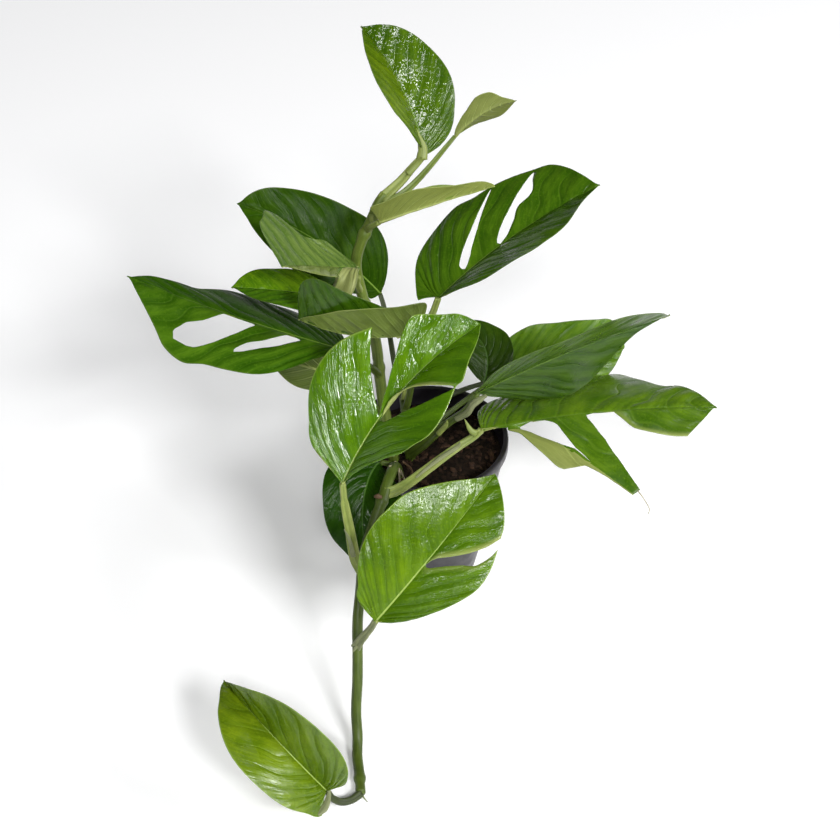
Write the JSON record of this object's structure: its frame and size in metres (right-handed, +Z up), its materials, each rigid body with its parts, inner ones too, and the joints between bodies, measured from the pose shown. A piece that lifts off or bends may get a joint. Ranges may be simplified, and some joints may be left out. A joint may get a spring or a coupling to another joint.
{
  "type": "potted monstera",
  "caption": "Potted vining house plant with glossy heart-shaped split leaves, in a tapered black nursery pot; one vine trails over the rim.",
  "frame": {"origin": "centre of the pot's base, on the surface that it stands on", "axes": "+Z up along the pot's axis; the trailing vine leaves the pot towards -Y, its end lying on the standing surface; the large split leaf reaches out towards +X"},
  "size_m": [0.4203, 0.3941, 0.4099],
  "materials": {
    "leaf_green": "gloss",
    "leaf_dark": "gloss",
    "leaf_bright": "gloss",
    "leaf_olive": "satin",
    "stem_pale": "satin",
    "stem_olive": "satin",
    "stem_dark": "satin",
    "pot_black": "satin",
    "soil_brown": "matte"
  },
  "bodies": {
    "root": {"pot": "pot_black", "soil": "soil_brown", "vine_climbing": "stem_olive", "vine_short": "stem_olive", "vine_trailing": "stem_olive", "petiole_top": "stem_pale", "petiole_newest": "stem_pale", "petiole_folded": "stem_pale", "petiole_upper_right": "stem_pale", "petiole_upper_left": "stem_dark", "petiole_half_rolled": "stem_pale", "petiole_left_back": "stem_olive", "petiole_left_split": "stem_olive", "petiole_centre_raised": "stem_olive", "petiole_centre_front": "stem_pale", "petiole_centre_dark": "stem_dark", "petiole_right_long": "stem_olive", "petiole_right_back": "stem_olive", "petiole_right_split": "stem_pale", "petiole_front_bright": "stem_pale", "petiole_pot_front": "stem_olive", "petiole_floor": "stem_pale", "petiole_left_low": "stem_olive", "leaf_top": "leaf_green", "leaf_newest": "leaf_olive", "leaf_folded": "leaf_olive", "leaf_upper_right": "leaf_green", "leaf_upper_left": "leaf_green", "leaf_half_rolled": "leaf_green", "leaf_left_back": "leaf_green", "leaf_left_split": "leaf_green", "leaf_centre_raised": "leaf_green", "leaf_centre_front": "leaf_bright", "leaf_centre_dark": "leaf_dark", "leaf_right_long": "leaf_green", "leaf_right_back": "leaf_green", "leaf_right_split": "leaf_green", "leaf_front_bright": "leaf_bright", "leaf_pot_front": "leaf_dark", "leaf_floor": "leaf_bright", "leaf_left_low": "leaf_olive"}
  },
  "joints": []
}
